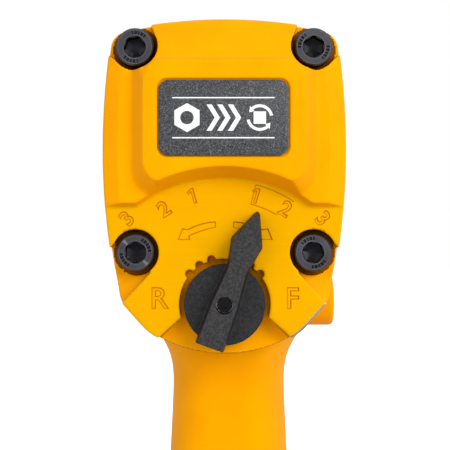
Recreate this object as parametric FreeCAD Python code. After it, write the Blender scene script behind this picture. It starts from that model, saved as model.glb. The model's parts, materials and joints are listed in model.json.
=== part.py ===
"""Air impact wrench with a 1/2 in. square drive, as an assembly of separate pieces.

The row frame: the origin is the centre of the square drive's front end face, +Y runs out of
the drive along the motor axis, +Z is up and +X is to the right for someone holding the tool.
All the tool lies behind y = 0.  Sizes are in millimetres.
"""
import FreeCAD, Part
import math
import os

V = FreeCAD.Vector

# ---- stations along the motor axis -------------------------------------------------------
DRIVE_BACK = -16.0
JOURNAL_BACK = -56.05
ANVIL_FLANGE_BACK = -59.0
ANVIL_CORE_BACK = -94.2
CASE_BACK = -103.0
WALL_BACK = -107.0
FRONT_PLATE_FRONT = -107.5
CYLINDER_FRONT = -115.5
CYLINDER_BACK = -157.5
HOUSING_BACK = -166.0
GASKET = 0.5
GASKET_SHIFT = 0.3
COVER_FRONT = HOUSING_BACK - GASKET

# ---- rear cover: heights above its front face --------------------------------------------
DIAL_HEIGHT = 12.0
SHOULDER_HEIGHT = 14.5
CROWN_HEIGHT = 18.0
PAD_HEIGHT = 19.0
RECESS_HEIGHT = 7.0
UPPER_SEAT_HEIGHT = 9.0
LOWER_SEAT_HEIGHT = 6.0
RIM_CHAMFER = (4.3, 2.3)
LABEL_X = -0.2

# ---- housing outline, seen along the motor axis ------------------------------------------
OUTLINE_TOP = 34.85
OUTLINE_HALF_WIDTH = 32.1
OUTLINE_BOTTOM = -54.0
WAIST_Z = 0.15
UPPER_FLANK_R = 203.8
LOWER_FLANK_R = 178.9

# ---- screws ------------------------------------------------------------------------------
SCREW_X = 23.4
SCREW_Z = 26.9
SCREW_R = 3.0
SCREW_HOLE_R = 3.3
HEAD_R = 5.0
HEAD_HEIGHT = 6.0
HEX_ACROSS_FLATS = 5.0
SOCKET_DEPTH = 3.6
REAR_THREAD_DEPTH = 26.0
FRONT_SCREW_LENGTH = 20.0

# ---- selector ----------------------------------------------------------------------------
SELECTOR_X = 0.1
SELECTOR_Z = -40.6
SELECTOR_ANGLE = 19.8
DETENT_ANGLE = 16.4
DISC_R = 10.7
LEVER_HEIGHT = 18.3
LEVER_DRAFT = 0.55
RECESS_R = 12.0
SPOOL_R = 9.0
STEM_R = 4.0
RUNNING = 0.05
MOTOR_PORTS = (-138.0, -150.0)
SUPPLY_PORT = -136.0
NOTCH_CENTRE_R = 12.25

# ---- air motor ---------------------------------------------------------------------------
MOTOR_BORE_R = 27.0
CHAMBER_R = 22.0
CHAMBER_RISE = 2.3
ROTOR_R = 19.5
VANES = 6
DOWEL_R = 2.0
DOWEL_Z = -24.5
FRONT_SHAFT_R = 7.5
REAR_SHAFT_R = 6.0

# ---- seal between the hammer case and the housing ----------------------------------------
CASE_RING_R = 0.85
CASE_RING_MAJOR_R = 28.4

# ---- impact mechanism --------------------------------------------------------------------
SQUARE = 12.7
JOURNAL_R = 9.5
CORE_R = 8.8
EAR_R = 11.6
EAR_HALF_ANGLE = 16.0
CAGE_R = 25.4
PIN_R = 3.0
PIN_OFFSET = 19.0
HAMMER_A = (-65.0, -79.2)
HAMMER_B = (-80.2, -94.4)

# ---- oil plug in the right flank ---------------------------------------------------------
PLUG_Y = -140.0
PLUG_Z = -41.2
BOSS_R = 7.2

# ---- handle, trigger and inlet -----------------------------------------------------------
HANDLE_X = 1.1
INLET_Y = -130.0
EXHAUST_Y = -146.5
HANDLE_BOTTOM = -150.0
TRIGGER_Z = -62.0
TRIGGER_BACK = -113.5
RECESS_FLOOR = -120.0
SEAT_Z = -91.0
INLET_THREAD_R = 5.75


# ---- building blocks ---------------------------------------------------------------------
def rod(radius, y_front, y_back, x=0.0, z=0.0):
    """Cylinder along Y."""
    return Part.makeCylinder(radius, y_front - y_back, V(x, y_back, z), V(0, 1, 0))


def tube(outer, inner, y_front, y_back, x=0.0, z=0.0):
    """Hollow cylinder along Y."""
    return rod(outer, y_front, y_back, x, z).cut(rod(inner, y_front + 1, y_back - 1, x, z))


def post(radius, z_top, z_bottom, x, y):
    """Cylinder along Z."""
    return Part.makeCylinder(radius, z_top - z_bottom, V(x, y, z_bottom), V(0, 0, 1))


def block(x_low, x_high, y_low, y_high, z_low, z_high):
    """Box between two corners."""
    return Part.makeBox(x_high - x_low, y_high - y_low, z_high - z_low, V(x_low, y_low, z_low))


def turned(profile, x=0.0, z=0.0):
    """Ring or shaft turned about an axis along Y, from (radius, y) points."""
    points = [V(x + radius, y, z) for radius, y in profile]
    face = Part.Face(Part.makePolygon(points + points[:1]))
    return face.revolve(V(x, 0, z), V(0, 1, 0), 360)


def turned_upright(profile, x, y):
    """The same about an axis along Z, from (radius, z) points."""
    points = [V(x + radius, y, z) for radius, z in profile]
    face = Part.Face(Part.makePolygon(points + points[:1]))
    return face.revolve(V(x, y, 0), V(0, 0, 1), 360)


def prism(wire, y_front):
    """Solid from a closed wire in an XZ plane, pulled forward to y_front."""
    y_back = wire.BoundBox.YMin
    return Part.Face(wire).extrude(V(0, y_front - y_back, 0))


def polygon(points, y_front, y_back):
    """Straight-sided prism along Y, from (x, z) points."""
    corners = [V(x, y_back, z) for x, z in points]
    return prism(Part.makePolygon(corners + corners[:1]), y_front)


def rounded_loop(corners, radii):
    """Closed wire of straight runs joined by tangent arcs, one radius for each corner."""
    arcs = []
    for index, corner in enumerate(corners):
        before = (corners[index - 1] - corner).normalize()
        after = (corners[(index + 1) % len(corners)] - corner).normalize()
        half = before.getAngle(after) / 2
        middle = (before + after).normalize()
        reach = radii[index] / math.tan(half)
        bulge = radii[index] / math.sin(half) - radii[index]
        arcs.append((corner + before * reach, corner + middle * bulge, corner + after * reach))
    edges = []
    for index, (start, middle, end) in enumerate(arcs):
        following = arcs[(index + 1) % len(arcs)][0]
        edges.append(Part.Arc(start, middle, end).toShape())
        if end.distanceToPoint(following) > 0.001:
            edges.append(Part.LineSegment(end, following).toShape())
    return Part.Wire(edges)


def rounded_prism(points, radii, y_front, y_back):
    """Prism along Y with rounded upright corners, from (x, z) points."""
    corners = [V(x, y_back, z) for x, z in points]
    return prism(rounded_loop(corners, radii), y_front)


def rectangle(half_x, z_low, z_high):
    """Corner points of a rectangle centred on x = 0."""
    return [(-half_x, z_low), (half_x, z_low), (half_x, z_high), (-half_x, z_high)]


def hexagon(across_flats, y_front, y_back, x, z):
    """Six-sided prism along Y."""
    radius = across_flats / math.sqrt(3)
    angles = [math.radians(60 * step + 30) for step in range(6)]
    points = [(x + radius * math.cos(angle), z + radius * math.sin(angle)) for angle in angles]
    return polygon(points, y_front, y_back)


def turn(shape, degrees, x=0.0, z=0.0):
    """Copy turned about an axis along +Y."""
    copy = shape.copy()
    copy.rotate(V(x, 0, z), V(0, 1, 0), degrees)
    return copy


def ring(minor, major, y, x=0.0, z=0.0):
    """O-ring about an axis along Y."""
    return Part.makeTorus(major, minor, V(x, y, z), V(0, 1, 0))


def coil(mean_r, wire_r, length, turns, base, direction):
    """Helical spring standing on base."""
    pitch = length / turns
    path = Part.makeHelix(pitch, length, mean_r)
    section = Part.Wire(Part.makeCircle(wire_r, V(mean_r, 0, 0), V(0, mean_r, pitch / 6.283)))
    spring = Part.Wire(path).makePipeShell([section], True, True)
    spring.Placement = FreeCAD.Placement(base, FreeCAD.Rotation(V(0, 0, 1), direction))
    return spring


def corners_of(x, z):
    """The four screw positions."""
    return [(side * x, level * z) for side in (-1, 1) for level in (-1, 1)]


# ---- rear cover --------------------------------------------------------------------------
def height(value):
    """Station at a height above the rear cover's front face."""
    return COVER_FRONT - value


def flank_x(z):
    """Half-width of the housing outline at a height on its bowed flank."""
    radius = UPPER_FLANK_R if z > WAIST_Z else LOWER_FLANK_R
    return OUTLINE_HALF_WIDTH - radius + math.sqrt(radius ** 2 - (z - WAIST_Z) ** 2)


def outline(y_front, y_back):
    """Slab in the outline of the cover and of the housing's rear flange."""
    corner_z = 31.0
    hip_z = -39.6
    heel = (20.5, -47.6)
    top = [V(x, y_back, z) for x, z in ((-flank_x(corner_z), corner_z), (0, OUTLINE_TOP))]
    bottom = [V(x, y_back, z) for x, z in ((-heel[0], heel[1]), (0, OUTLINE_BOTTOM), heel)]
    edges = [Part.Arc(top[0], top[1], V(flank_x(corner_z), y_back, corner_z)).toShape()]
    edges.append(Part.Arc(*bottom).toShape())
    for side in (-1, 1):
        for levels in ((corner_z, 16.0, WAIST_Z), (WAIST_Z, -20.0, hip_z)):
            points = [V(side * flank_x(z), y_back, z) for z in levels]
            edges.append(Part.Arc(*points).toShape())
        hip = V(side * flank_x(hip_z), y_back, hip_z)
        edges.append(Part.LineSegment(hip, V(side * heel[0], y_back, heel[1])).toShape())
    slab = prism(Part.Wire(Part.__sortEdges__(edges)), y_front)
    for level, radius in ((corner_z, 4.5), (hip_z, 5.0), (heel[1], 14.0)):
        slab = slab.makeFillet(radius, [edge for edge in slab.Edges if stands_at(edge, level)])
    return slab


def stands_at(edge, level):
    """True for an edge along Y at one height."""
    box = edge.BoundBox
    return box.YLength > 0.4 and box.ZLength < 0.01 and abs(box.ZMin - level) < 0.01


def arch(y, rise):
    """Everything below the arched step between the label pad and the dial."""
    top = -7.3 + rise
    haunch = -11.3 + rise
    foot = -14.9 + rise
    low = [V(40, y, foot), V(40, y, -70), V(-40, y, -70), V(-40, y, foot), V(-23.1, y, foot)]
    edges = [Part.Arc(V(-17.8, y, haunch), V(0, y, top), V(17.8, y, haunch)).toShape()]
    path = [V(17.8, y, haunch), V(23.1, y, foot)] + low + [V(-17.8, y, haunch)]
    for start, end in zip(path, path[1:]):
        edges.append(Part.LineSegment(start, end).toShape())
    return Part.Wire(edges)


def upper_pocket(side):
    """Screw pocket that runs out through an upper corner."""
    mouth = [(-17.9, 29.2), (-21.3, 38.0), (-45.0, 45.0), (-45.0, 37.0), (-26.2, 21.8)]
    opening = polygon([(-side * x, z) for x, z in mouth], height(UPPER_SEAT_HEIGHT), height(25))
    well = rod(6.0, height(UPPER_SEAT_HEIGHT), height(25), side * SCREW_X, SCREW_Z)
    return opening.fuse(well)


def lower_pocket(side):
    """Counterbore of a lower screw, and the ramp from it to the edge of the cover."""
    mouth = [(-26.3, -21.4), (-36.0, -32.3), (-36.0, -49.8), (-25.6, -38.7), (-19.4, -32.1)]
    opening = polygon([(-side * x, z) for x, z in mouth], height(LOWER_SEAT_HEIGHT), height(25))
    slope = block(-40, 40, 0, 30, -40, 40)
    slope.rotate(V(0, 0, 0), V(1, 0, -side), -34)
    slope.translate(V(side * 24.6, height(LOWER_SEAT_HEIGHT), -31.6))
    well = rod(6.1, height(LOWER_SEAT_HEIGHT), height(25), side * SCREW_X, -SCREW_Z)
    return opening.cut(slope).fuse(well)


def selector_recess():
    """Round well under the knob, its six detent notches and the fan that drains it."""
    floor = height(RECESS_HEIGHT)
    well = rod(RECESS_R, floor, height(25), SELECTOR_X, SELECTOR_Z)
    for step in (-3, -2, -1, 1, 2, 3):
        notch = rod(1.15, floor, height(25), SELECTOR_X, SELECTOR_Z + NOTCH_CENTRE_R)
        well = well.fuse(turn(notch, step * DETENT_ANGLE, SELECTOR_X, SELECTOR_Z))
    fan = [(-11.3, -43.9), (-27.0, -58.2), (27.4, -58.2), (11.6, -43.9)]
    return well.fuse(polygon(fan, floor, height(25)))


def raised_pad(foot_height, foot, top_height, top, radius):
    """Block with drafted sides and rounded corners, between two rectangles."""
    sections = []
    for level, points in ((foot_height, foot), (top_height, top)):
        corners = [V(x, height(level), z) for x, z in points]
        sections.append(rounded_loop(corners, [radius] * 4))
    return Part.makeLoft(sections, True, True)


def rear_cover():
    """Die-cast cover with the label pad, the dial face and the screw pockets."""
    base = outline(COVER_FRONT, height(SHOULDER_HEIGHT))
    rim = [edge for edge in base.Edges if edge.BoundBox.YMax < height(SHOULDER_HEIGHT) + 0.01]
    base = base.makeChamfer(*RIM_CHAMFER, rim)
    crown = raised_pad(14.0, rectangle(24.6, -12.4, 60), CROWN_HEIGHT, rectangle(21.9, -9.7, 60), 6.5)
    crown = crown.common(outline(COVER_FRONT, height(PAD_HEIGHT)))
    slope = [V(-40, height(CROWN_HEIGHT), 22.9), V(-40, height(10), 38.9), V(-40, height(25), 38.9)]
    slope.append(V(-40, height(25), 22.9))
    falling = Part.Face(Part.makePolygon(slope + slope[:1])).extrude(V(80, 0, 0))
    pad = raised_pad(14.0, rectangle(24.4, -11.2, 25.6), PAD_HEIGHT, rectangle(21.2, -8.6, 22.9), 5.6)
    cap = outline(COVER_FRONT, height(PAD_HEIGHT)).cut(falling)
    cap = cap.makeFillet(2.2, [edge for edge in cap.Edges if on_brow(edge)])
    cover = base.fuse(crown).common(cap).fuse(pad)
    dial = Part.makeLoft([arch(height(25), 5.2), arch(height(DIAL_HEIGHT), 0.0)], True, True)
    cover = cover.cut(dial)
    for side in (-1, 1):
        cover = cover.cut(upper_pocket(side)).cut(lower_pocket(side))
    for x, z in corners_of(SCREW_X, SCREW_Z):
        cover = cover.cut(rod(SCREW_HOLE_R, COVER_FRONT + 1, height(25), x, z))
    cover = cover.cut(selector_recess())
    cover = cover.cut(label_seat(17.2, 10.2, PAD_HEIGHT - 1.0, 25))
    cover = cover.cut(rod(STEM_R + RUNNING, COVER_FRONT + 1, height(20), SELECTOR_X, SELECTOR_Z))
    cover = cover.cut(rod(5.9, height(1.6), height(4.0), SELECTOR_X, SELECTOR_Z))
    cover = cover.cut(rod(REAR_SHAFT_R + 3, COVER_FRONT + 1, height(3)))
    return cover.removeSplitter()


def on_brow(edge):
    """True for the long edge where the crown falls to the top of the cover."""
    box = edge.BoundBox
    return box.ZMin > 30.0 and box.XLength > 20.0 and height(14.0) < box.YMin and box.YMax < height(9.0)


def label_seat(half_width, half_depth, low, high):
    """Rounded rectangle of the label, between two heights above the cover's front face."""
    middle = 7.96
    points = rectangle(half_width, middle - half_depth, middle + half_depth)
    seat = rounded_prism(points, [2.6] * 4, height(low), height(high))
    seat.translate(V(LABEL_X, 0, 0))
    return seat


def label_plate():
    """Printed metal plate in the pad."""
    return label_seat(16.8, 9.8, PAD_HEIGHT - 1.0, PAD_HEIGHT - 0.15)


def cap_screw(x, z, seat, length, forward):
    """M6 socket-head cap screw; forward is the sign of the way its thread points along Y."""
    bevel = 0.55
    shank = -forward * length
    top = forward * HEAD_HEIGHT
    profile = [(0, -shank), (SCREW_R, -shank), (SCREW_R, 0), (HEAD_R, 0)]
    profile += [(HEAD_R, -(top - forward * bevel)), (HEAD_R - bevel, -top), (0, -top)]
    screw = turned([(radius, seat + y) for radius, y in profile], x, z)
    socket_floor = seat - forward * (HEAD_HEIGHT - SOCKET_DEPTH)
    socket_mouth = seat - forward * (HEAD_HEIGHT + 1.0)
    front = max(socket_floor, socket_mouth)
    back = min(socket_floor, socket_mouth)
    return screw.cut(hexagon(HEX_ACROSS_FLATS, front, back, x, z))


def rear_cover_screws():
    """Four screws that clamp the cover and gasket to the housing."""
    tip = HOUSING_BACK + REAR_THREAD_DEPTH - 1.0
    screws = []
    for x, z in corners_of(SCREW_X, SCREW_Z):
        seat = height(UPPER_SEAT_HEIGHT if z > 0 else LOWER_SEAT_HEIGHT)
        screws.append(cap_screw(x, z, seat, tip - seat, 1))
    return Part.makeCompound(screws)


def rear_gasket():
    """Fibre gasket between the cover and the housing; its edge shows at the lower right."""
    sheet = outline(HOUSING_BACK, COVER_FRONT)
    sheet.translate(V(GASKET_SHIFT, 0, -GASKET_SHIFT))
    sheet = sheet.cut(rod(24.0, HOUSING_BACK + 1, COVER_FRONT - 1))
    sheet = sheet.cut(rod(SPOOL_R, HOUSING_BACK + 1, COVER_FRONT - 1, SELECTOR_X, SELECTOR_Z))
    for x, z in corners_of(SCREW_X, SCREW_Z):
        sheet = sheet.cut(rod(SCREW_HOLE_R, HOUSING_BACK + 1, COVER_FRONT - 1, x, z))
    return sheet


# ---- selector and reverse valve ----------------------------------------------------------
def selector_knob():
    """Black disc with the pointer lever moulded across it."""
    disc = rod(DISC_R, height(RECESS_HEIGHT + 0.3), height(12.7))
    bar = [(0.0, 27.1), (-4.4, 17.4), (-2.95, 9.8), (-3.85, 0.0), (-4.0, -12.0)]
    bar += [(4.0, -12.0), (3.85, 0.0), (2.95, 9.8), (4.4, 17.4)]
    radii = [0.8, 1.6, 8.0, 20.0, 0.5, 0.5, 20.0, 8.0, 1.6]
    foot = rounded_loop([V(x, height(DIAL_HEIGHT + 0.6), z) for x, z in bar], radii)
    top = foot.makeOffset2D(-LEVER_DRAFT)
    top.translate(V(0, height(LEVER_HEIGHT) - height(DIAL_HEIGHT + 0.6), 0))
    lever = Part.makeLoft([foot, top], True, True)
    knob = disc.fuse(lever)
    knob = knob.cut(rod(STEM_R, height(0), height(11.0)))
    knob = knob.cut(rod(2.2, height(0), height(20)))
    pocket = Part.makeCylinder(1.05, 8.0, V(0, height(9.6), 4.2), V(0, 0, 1))
    pocket.rotate(V(0, 0, 0), V(0, 1, 0), DETENT_ANGLE - SELECTOR_ANGLE)
    knob = knob.cut(pocket)
    return place_selector(knob)


def place_selector(shape, angle=SELECTOR_ANGLE):
    """Move a piece drawn upright about the origin to the selector's axis and angle."""
    placed = turn(shape, angle)
    placed.translate(V(SELECTOR_X, 0, SELECTOR_Z))
    return placed


def selector_screw():
    """Socket screw that holds the knob on the valve stem."""
    screw = rod(2.0, height(2.0), height(13.2)).cut(hexagon(2.0, height(11.0), height(16), 0, 0))
    return place_selector(screw)


def selector_detent_pin():
    """Round-nosed pin that drops into the notches round the knob."""
    pin = Part.makeCylinder(1.0, 3.8, V(0, height(9.6), 7.2), V(0, 0, 1))
    nose = Part.makeSphere(1.0, V(0, height(9.6), 11.0))
    return place_selector(pin.fuse(nose), DETENT_ANGLE)


def selector_detent_spring():
    """Small spring behind the detent pin."""
    spring = coil(0.7, 0.16, 2.5, 4, V(0, height(9.6), 4.45), V(0, 0, 1))
    return place_selector(spring, DETENT_ANGLE)


def valve_sleeve():
    """Hardened ported sleeve pressed into the valve chest."""
    sleeve = tube(11.5, SPOOL_R + RUNNING, HOUSING_BACK + 38.0, HOUSING_BACK, SELECTOR_X, SELECTOR_Z)
    for y in MOTOR_PORTS:
        sleeve = sleeve.cut(post(3.2, SELECTOR_Z + 12, SELECTOR_Z, SELECTOR_X, y))
    sleeve = sleeve.cut(post(4.0, SELECTOR_Z, SELECTOR_Z - 12, SELECTOR_X, SUPPLY_PORT))
    return sleeve.cut(post(3.6, SELECTOR_Z, SELECTOR_Z - 12, SELECTOR_X, EXHAUST_Y))


def reverse_valve():
    """Rotary valve spool: steers the air for each direction and meters its flow."""
    front = HOUSING_BACK + 36.0
    back = HOUSING_BACK - 0.1
    spool = rod(SPOOL_R, front, back).fuse(rod(STEM_R, back, height(11.0)))
    spool = spool.cut(rod(5.2, front + 1, front - 18.0))
    spool = spool.cut(rod(2.0, height(2.0), height(12)))
    for side in (-1, 1):
        duct = Part.makeCylinder(2.6, 12.0, V(0, front - 8.0, 0), V(side * 0.6, 0, 1))
        groove = block(-9.5, 9.5, front - 27.0, front - 21.0, 5.0, 10.0)
        spool = spool.cut(duct).cut(turn(groove, side * 55))
    return place_selector(spool)


def valve_seal():
    """O-ring round the valve stem, in the cover."""
    return ring(0.85, 4.98, height(2.8), SELECTOR_X, SELECTOR_Z)


# ---- housing and handle ------------------------------------------------------------------
def handle_section(z, y_front, y_back, half_width, radius):
    """One rounded cross-section of the handle."""
    corners = [
        V(HANDLE_X - half_width, y_back, z),
        V(HANDLE_X + half_width, y_back, z),
        V(HANDLE_X + half_width, y_front, z),
        V(HANDLE_X - half_width, y_front, z),
    ]
    return rounded_loop(corners, [radius] * 4)


def handle():
    """Pistol grip, flared at its base for the inlet and the exhaust."""
    stations = [
        (-44.0, -109.0, -163.5, 23.0, 12.0),
        (-50.0, -110.0, -162.0, 19.8, 12.0),
        (-55.0, -111.0, -160.5, 17.2, 12.3),
        (-60.0, -112.0, -158.5, 16.1, 12.5),
        (-68.0, -113.5, -156.0, 16.1, 12.5),
        (-86.0, -116.0, -154.0, 17.0, 12.5),
        (-105.0, -117.5, -157.5, 17.5, 13.0),
        (-130.0, -116.5, -162.0, 17.8, 13.0),
        (HANDLE_BOTTOM, -114.5, -165.0, 18.9, 13.0),
    ]
    return Part.makeLoft([handle_section(*station) for station in stations], True, False)


def side_boss():
    """Boss on the right flank for the oil plug."""
    boss = Part.makeCylinder(BOSS_R, 25.4, V(6.2, PLUG_Y, PLUG_Z), V(1, 0, 0))
    return boss.makeFillet(0.9, [edge for edge in boss.Edges if edge.BoundBox.XMin > 31.0])


def motor_housing():
    """Casting that holds the motor and valve and carries the handle."""
    rear_flange = outline(HOUSING_BACK + 9.0, HOUSING_BACK)
    chest = outline(HOUSING_BACK + 44.0, HOUSING_BACK)
    chest = chest.common(block(-27, 27, -170, -100, -60, -24))
    nose = polygon([(-24, -24), (24, -24), (17, -49), (-17, -49)], -112.0, HOUSING_BACK + 20.0)
    housing = rod(30.6, CASE_BACK, HOUSING_BACK).fuse(rear_flange).fuse(chest).fuse(nose)
    front_flange = rod(32.0, CASE_BACK, CASE_BACK - 7.0)
    housing = housing.fuse(front_flange)
    for x, z in corners_of(SCREW_X, SCREW_Z):
        housing = housing.fuse(rod(6.3, CASE_BACK, HOUSING_BACK, x, z))
        web = [(x * 0.45, z * 1.12), (x * 1.02, z * 1.2), (x * 1.22, z * 1.02), (x * 1.16, z * 0.45)]
        housing = housing.fuse(polygon(web, CASE_BACK - 0.5, HOUSING_BACK))
    housing = housing.fuse(handle()).fuse(side_boss())
    return housing.cut(housing_bores()).removeSplitter()


def housing_bores():
    """Everything bored out of the housing casting."""
    bores = rod(MOTOR_BORE_R, WALL_BACK, HOUSING_BACK - 1)
    bores = bores.fuse(rod(17.0, CASE_BACK + 1, WALL_BACK - 1))
    bores = bores.fuse(rod(11.5, HOUSING_BACK + 38.0, HOUSING_BACK - 1, SELECTOR_X, SELECTOR_Z))
    for x, z in corners_of(SCREW_X, SCREW_Z):
        bores = bores.fuse(rod(SCREW_R, HOUSING_BACK + REAR_THREAD_DEPTH, HOUSING_BACK - 1, x, z))
        bores = bores.fuse(rod(SCREW_R, CASE_BACK + 1, CASE_BACK - 14.0, x, z))
    for y in MOTOR_PORTS:
        bores = bores.fuse(post(3.2, -24.0, SELECTOR_Z, SELECTOR_X, y))
    bores = bores.fuse(post(4.0, SELECTOR_Z, -66.0, SELECTOR_X, SUPPLY_PORT))
    bores = bores.fuse(post(3.6, SELECTOR_Z, -60.0, SELECTOR_X, EXHAUST_Y))
    bores = bores.fuse(post(5.0, -58.0, HANDLE_BOTTOM - 1, HANDLE_X, EXHAUST_Y))
    bores = bores.fuse(stem_chamber())
    bores = bores.fuse(post(7.5, SEAT_Z + 3.0, HANDLE_BOTTOM - 1, HANDLE_X, INLET_Y))
    bores = bores.fuse(post(9.5, -114.0, HANDLE_BOTTOM - 1, HANDLE_X, INLET_Y))
    groove = tube(CASE_RING_MAJOR_R + 0.95, CASE_RING_MAJOR_R - 0.95, CASE_BACK + 1, CASE_BACK - 1.8)
    bores = bores.fuse(groove)
    recess = block(-8.4, 8.4, RECESS_FLOOR, -100.0, TRIGGER_Z - 14.4, TRIGGER_Z + 11.4)
    recess.translate(V(HANDLE_X, 0, 0))
    bores = bores.fuse(recess)
    bores = bores.fuse(rod(6.0, RECESS_FLOOR + 1, RECESS_FLOOR - 6.0, HANDLE_X, TRIGGER_Z))
    plug = Part.makeCylinder(5.0, 12.0, V(23.6, PLUG_Y, PLUG_Z), V(1, 0, 0))
    return bores.fuse(plug)


def stem_chamber():
    """Slot-shaped chamber in which the throttle valve's stem tips rearwards."""
    front = V(HANDLE_X, INLET_Y + 0.5, SEAT_Z + 3.0)
    rear = V(HANDLE_X, INLET_Y - 5.5, SEAT_Z + 3.0)
    span = TRIGGER_Z + 5.5 - front.z
    chamber = Part.makeCylinder(5.0, span, front, V(0, 0, 1))
    chamber = chamber.fuse(Part.makeCylinder(5.0, span, rear, V(0, 0, 1)))
    return chamber.fuse(block(HANDLE_X - 5.0, HANDLE_X + 5.0, rear.y, front.y, front.z, front.z + span))


def side_port_plug():
    """Flush plug with a hexagon socket in the side boss."""
    plug = Part.makeCylinder(5.0, 7.5, V(23.8, PLUG_Y, PLUG_Z), V(1, 0, 0))
    socket = hexagon(5.0, 0.0, -5.0, 0, 0)
    socket.rotate(V(0, 0, 0), V(0, 0, 1), -90)
    socket.translate(V(32.4, PLUG_Y, PLUG_Z))
    return plug.cut(socket)


# ---- air motor ---------------------------------------------------------------------------
def bearing(name, y_front, y_back, inner_r, outer_r, balls):
    """Deep-groove ball bearing: outer ring, inner ring, and balls held in their cage."""
    middle = (y_front + y_back) / 2
    pitch_r = (inner_r + outer_r) / 2
    ball_r = (outer_r - inner_r) * 0.28
    groove = ring(ball_r + 0.06, pitch_r, middle)
    wall = (outer_r - inner_r) * 0.26
    outer = tube(outer_r, outer_r - wall, y_front, y_back).cut(groove)
    inner = tube(inner_r + wall, inner_r, y_front, y_back).cut(groove)
    half_width = ball_r + 0.4
    reach = ball_r * 0.42
    cage = tube(pitch_r + reach, pitch_r - reach, middle + half_width, middle - half_width)
    beads = []
    for step in range(balls):
        angle = 2 * math.pi * step / balls
        outwards = V(math.cos(angle), 0, math.sin(angle))
        pocket = Part.makeCylinder(ball_r + 0.1, outer_r, V(0, middle, 0), outwards)
        cage = cage.cut(pocket)
        beads.append(Part.makeSphere(ball_r, V(0, middle, 0) + outwards * pitch_r))
    beads = Part.makeCompound([cage] + beads)
    return {name + "_outer_ring": outer, name + "_inner_ring": inner, name + "_balls": beads}


def front_end_plate():
    """Bearing plate that closes the front of the air cylinder."""
    plate = rod(MOTOR_BORE_R, FRONT_PLATE_FRONT, CYLINDER_FRONT)
    plate = plate.cut(rod(16.0, FRONT_PLATE_FRONT + 1, FRONT_PLATE_FRONT - 6.5))
    plate = plate.cut(rod(FRONT_SHAFT_R + 0.3, FRONT_PLATE_FRONT + 1, CYLINDER_FRONT - 1))
    return plate.cut(rod(DOWEL_R, CYLINDER_FRONT + 3.0, CYLINDER_FRONT - 1, 0, DOWEL_Z))


def rear_end_plate():
    """Bearing plate at the back, with the kidney ports that feed the motor."""
    plate = rod(MOTOR_BORE_R, CYLINDER_BACK, HOUSING_BACK)
    plate = plate.cut(rod(14.0, CYLINDER_BACK - 2.0, HOUSING_BACK - 1))
    plate = plate.cut(rod(REAR_SHAFT_R + 0.3, CYLINDER_BACK + 1, HOUSING_BACK - 1))
    for side in (-1, 1):
        kidney = tube(19.5, 16.5, CYLINDER_BACK + 1, CYLINDER_BACK - 3.0)
        kidney = kidney.common(block(side * 12.0 - 7, side * 12.0 + 7, -170, -150, -25, -4))
        plate = plate.cut(kidney)
    return plate.cut(rod(DOWEL_R, CYLINDER_BACK + 1, CYLINDER_BACK - 3.0, 0, DOWEL_Z))


def air_cylinder():
    """Liner whose bore lies off the rotor's axis."""
    liner = rod(MOTOR_BORE_R, CYLINDER_FRONT, CYLINDER_BACK)
    liner = liner.cut(rod(CHAMBER_R, CYLINDER_FRONT + 1, CYLINDER_BACK - 1, 0, CHAMBER_RISE))
    liner = liner.cut(rod(DOWEL_R, CYLINDER_FRONT + 1, CYLINDER_BACK - 1, 0, DOWEL_Z))
    for side in (-1, 1):
        for step in range(4):
            start = V(side * 15.0, -124.0 - 8.5 * step, -12.0)
            liner = liner.cut(Part.makeCylinder(1.4, 14.0, start, V(side, 0, -0.8)))
    return liner


def cylinder_dowel():
    """Pin that keeps the plates and the cylinder in line."""
    return rod(DOWEL_R, CYLINDER_FRONT + 2.8, CYLINDER_BACK - 2.8, 0, DOWEL_Z)


def rotor():
    """Slotted rotor with a bearing journal at each end and a splined nose."""
    front = CYLINDER_FRONT - RUNNING
    back = CYLINDER_BACK + RUNNING
    body = rod(ROTOR_R, front, back)
    for step in range(VANES):
        slot = block(-1.0, 1.0, back - 1, front + 1, 9.6, 21.0)
        body = body.cut(turn(slot, 360 / VANES * step))
    body = body.fuse(rod(REAR_SHAFT_R, back, HOUSING_BACK - 2.0))
    body = body.fuse(rod(FRONT_SHAFT_R, CASE_BACK - 1.5, front))
    body = body.fuse(spline(7.0, 5.4, 1.5, -95.2, CASE_BACK - 1.5))
    return body.cut(rod(3.6, -90.0, -100.0))


def spline(crest_r, root_r, half_tooth, y_front, y_back):
    """Six-tooth straight-sided spline shaft."""
    shaft = rod(root_r, y_front, y_back)
    for step in range(6):
        tooth = block(-half_tooth, half_tooth, y_back, y_front, 0.0, crest_r)
        shaft = shaft.fuse(turn(tooth, 60 * step))
    return shaft


def rotor_vanes():
    """Six vanes, drawn fully into their slots."""
    vane = block(-0.9, 0.9, CYLINDER_BACK + 0.1, CYLINDER_FRONT - 0.1, 9.8, 19.3)
    return Part.makeCompound([turn(vane, 360 / VANES * step) for step in range(VANES)])


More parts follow.
